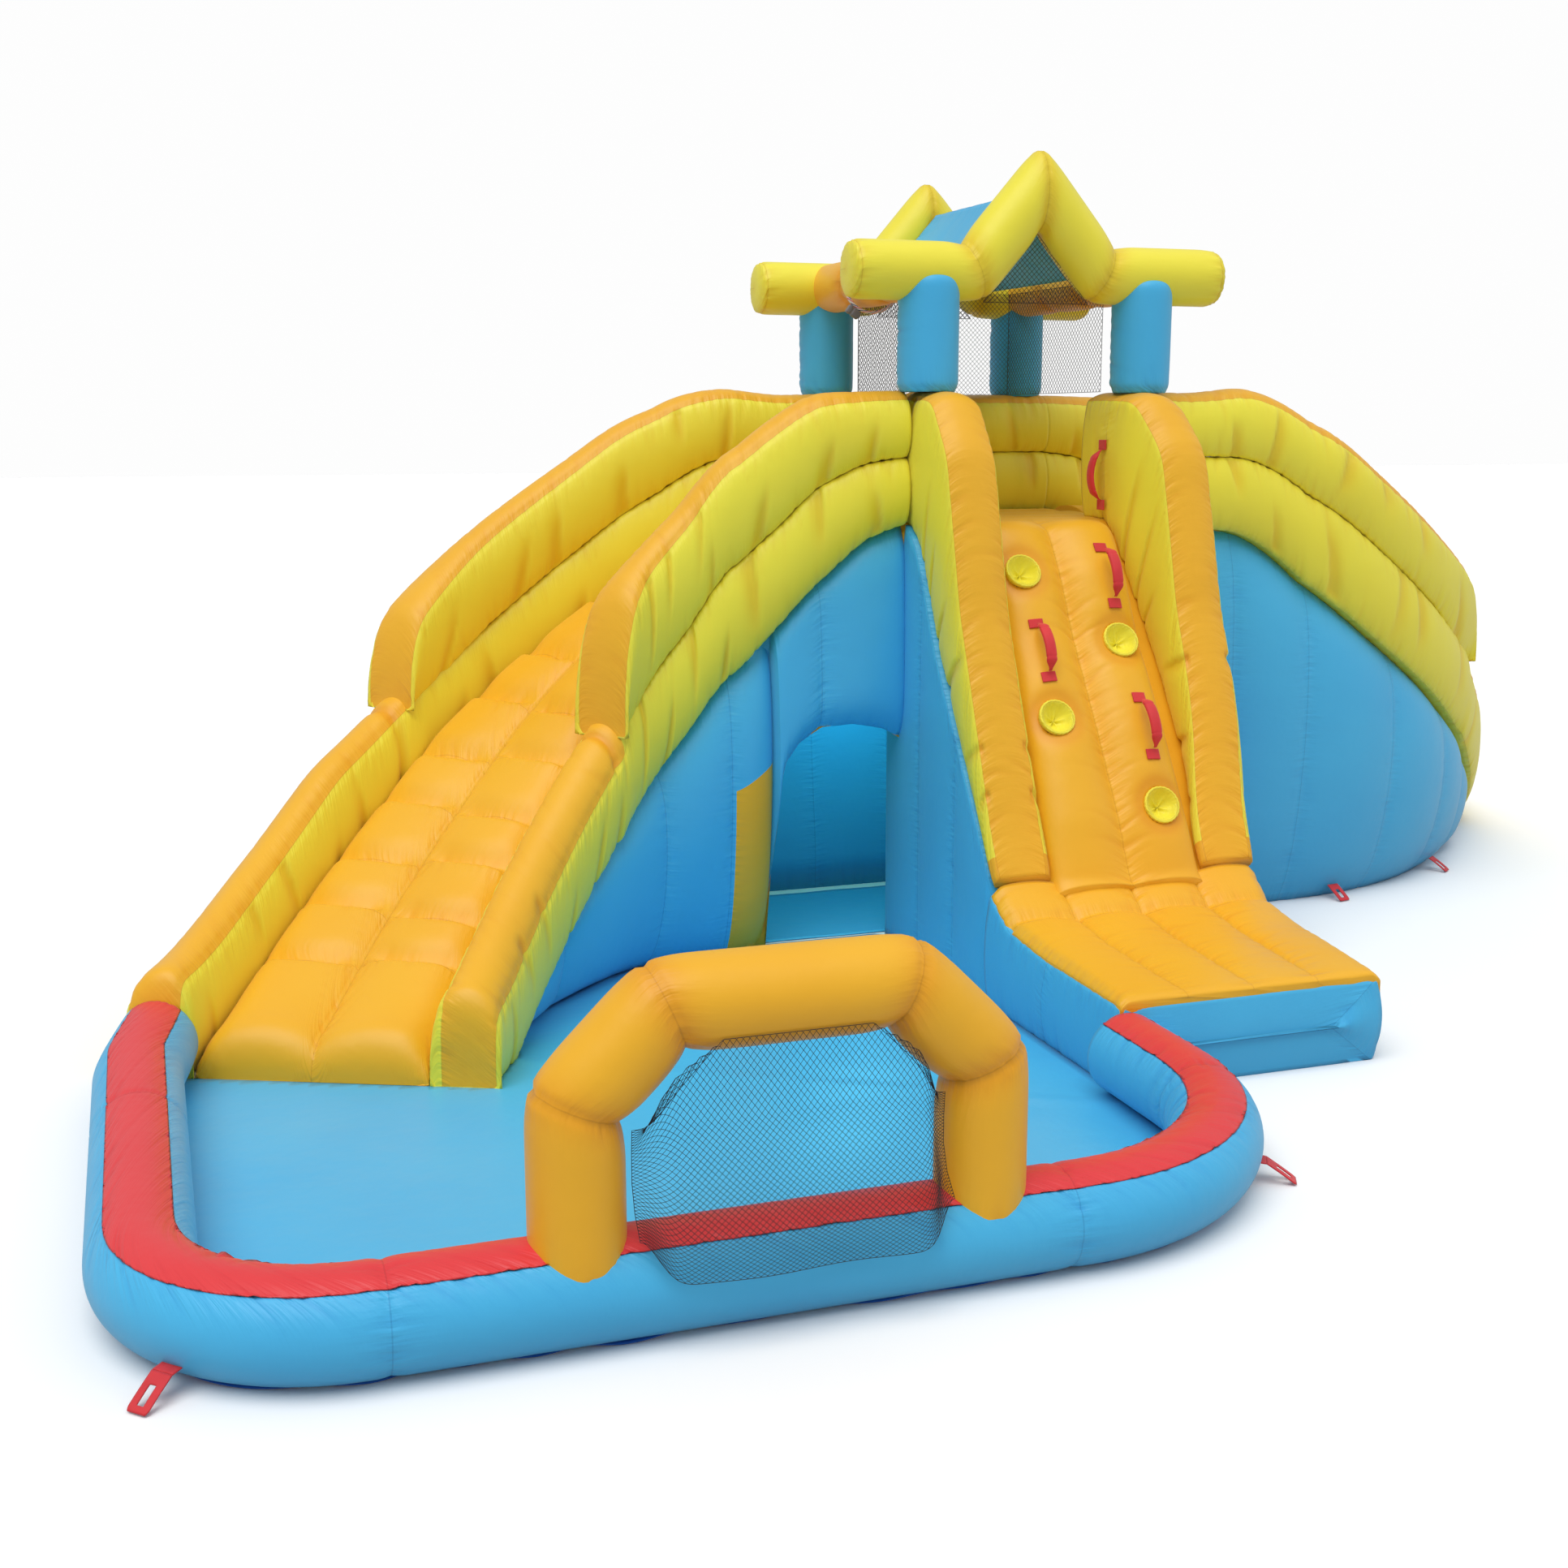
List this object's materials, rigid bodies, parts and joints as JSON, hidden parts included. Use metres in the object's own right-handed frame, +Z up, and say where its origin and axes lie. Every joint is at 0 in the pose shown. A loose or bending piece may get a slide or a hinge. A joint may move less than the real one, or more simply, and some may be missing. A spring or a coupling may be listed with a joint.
{
  "type": "inflatable water slide",
  "caption": "Inflatable water slide: a roofed tower with a climbing wall, two curved chutes and a crawl tunnel, and a splash pool with a netted goal.",
  "frame": {"origin": "on the ground under the centre of the tower", "axes": "+Z up; +X along the front of the tower towards the right chute; -Y from the tower towards the pool"},
  "size_m": [6.075, 4.4917, 2.6711],
  "materials": {
    "black_net": "matte",
    "blue_cloth": "satin",
    "grey_plastic": "satin",
    "orange_cloth": "satin",
    "pool_floor_cloth": "satin",
    "red_cloth": "satin",
    "red_webbing": "matte",
    "striped_hose": "satin",
    "yellow_cloth": "satin"
  },
  "bodies": {
    "slide_body": {"left_slide_bed": "orange_cloth", "left_tunnel_wall": "orange_cloth", "left_slide_inner_wall_lower": "yellow_cloth", "left_slide_inner_wall_upper": "yellow_cloth", "left_slide_inner_skirt": "blue_cloth", "left_slide_outer_wall_lower": "yellow_cloth", "left_slide_outer_wall_upper": "yellow_cloth", "left_slide_outer_skirt": "blue_cloth", "right_slide_bed": "orange_cloth", "right_tunnel_wall": "orange_cloth", "right_slide_inner_wall_lower": "yellow_cloth", "right_slide_inner_wall_upper": "yellow_cloth", "right_slide_inner_skirt": "blue_cloth", "right_slide_outer_wall_lower": "yellow_cloth", "right_slide_outer_wall_upper": "yellow_cloth", "right_slide_outer_skirt": "blue_cloth", "platform_deck": "orange_cloth", "climbing_panel": "orange_cloth", "foot_pocket_1": "yellow_cloth", "foot_pocket_2": "yellow_cloth", "foot_pocket_3": "yellow_cloth", "foot_pocket_4": "yellow_cloth", "climbing_wall_right": "orange_cloth", "climbing_wall_left": "orange_cloth", "climbing_flank_left": "blue_cloth", "climbing_flank_right": "blue_cloth", "ramp_base": "blue_cloth", "roof_tube_front": "yellow_cloth", "roof_tube_back": "yellow_cloth", "roof_side_tube_left": "orange_cloth", "roof_side_tube_right": "orange_cloth", "post_front_left": "blue_cloth", "post_front_right": "blue_cloth", "post_back_left": "blue_cloth", "post_back_right": "blue_cloth", "roof_sheet": "blue_cloth", "net_left": "black_net", "net_right": "black_net", "net_back": "black_net", "gable_net_front": "black_net", "gable_net_back": "black_net", "pool_wall": "blue_cloth", "pool_rim_cap": "red_cloth", "pool_floor": "pool_floor_cloth", "tunnel_floor": "pool_floor_cloth", "goal_frame": "orange_cloth", "goal_net": "black_net", "hose_loop": "striped_hose", "hose_clip": "grey_plastic", "blower_sleeve": "blue_cloth"},
    "strap_handle_1": {"strap_handle_1": "red_webbing"},
    "strap_handle_2": {"strap_handle_2": "red_webbing"},
    "strap_handle_3": {"strap_handle_3": "red_webbing"},
    "grab_loop": {"grab_loop": "red_webbing"},
    "ground_loop_1": {"ground_loop_1": "red_webbing"},
    "ground_loop_2": {"ground_loop_2": "red_webbing"},
    "ground_loop_3": {"ground_loop_3": "red_webbing"},
    "ground_loop_4": {"ground_loop_4": "red_webbing"},
    "ground_loop_5": {"ground_loop_5": "red_webbing"},
    "ground_loop_6": {"ground_loop_6": "red_webbing"}
  },
  "joints": [
    {"name": "strap_handle_1_sway", "type": "hinge", "parent": "slide_body", "child": "strap_handle_1", "pos_m": [0.15, -0.7645, 1.2901], "axis": [0, -0.4496, -0.8932], "range_deg": [-20, 20]},
    {"name": "strap_handle_2_sway", "type": "hinge", "parent": "slide_body", "child": "strap_handle_2", "pos_m": [-0.15, -0.8879, 1.0671], "axis": [0, -0.5506, -0.8348], "range_deg": [-20, 20]},
    {"name": "strap_handle_3_sway", "type": "hinge", "parent": "slide_body", "child": "strap_handle_3", "pos_m": [0.15, -1.0431, 0.8284], "axis": [0, -0.5506, -0.8348], "range_deg": [-20, 20]},
    {"name": "grab_loop_sway", "type": "hinge", "parent": "slide_body", "child": "grab_loop", "pos_m": [0.2531, -0.49, 1.6], "axis": [0, 0, 1], "range_deg": [-20, 20]},
    {"name": "ground_loop_1_lift", "type": "hinge", "parent": "slide_body", "child": "ground_loop_1", "pos_m": [-0.4255, -2.6606, 0.052], "axis": [-0.5, -0.866, 0], "range_deg": [0, 40]},
    {"name": "ground_loop_2_lift", "type": "hinge", "parent": "slide_body", "child": "ground_loop_2", "pos_m": [-2.9285, -2.8685, 0.052], "axis": [-0.7071, 0.7071, 0], "range_deg": [0, 40]},
    {"name": "ground_loop_3_lift", "type": "hinge", "parent": "slide_body", "child": "ground_loop_3", "pos_m": [1.3393, -0.4092, 0.052], "axis": [-0.9855, -0.1698, 0], "range_deg": [0, 40]},
    {"name": "ground_loop_4_lift", "type": "hinge", "parent": "slide_body", "child": "ground_loop_4", "pos_m": [1.9859, -0.1528, 0.052], "axis": [-0.8084, -0.5886, 0], "range_deg": [0, 40]},
    {"name": "ground_loop_5_lift", "type": "hinge", "parent": "slide_body", "child": "ground_loop_5", "pos_m": [-1.4765, 0.3826, 0.052], "axis": [0.9658, 0.2593, 0], "range_deg": [0, 40]},
    {"name": "ground_loop_6_lift", "type": "hinge", "parent": "slide_body", "child": "ground_loop_6", "pos_m": [-0.217, 0.4272, 0.052], "axis": [1, 0, 0], "range_deg": [0, 40]}
  ]
}
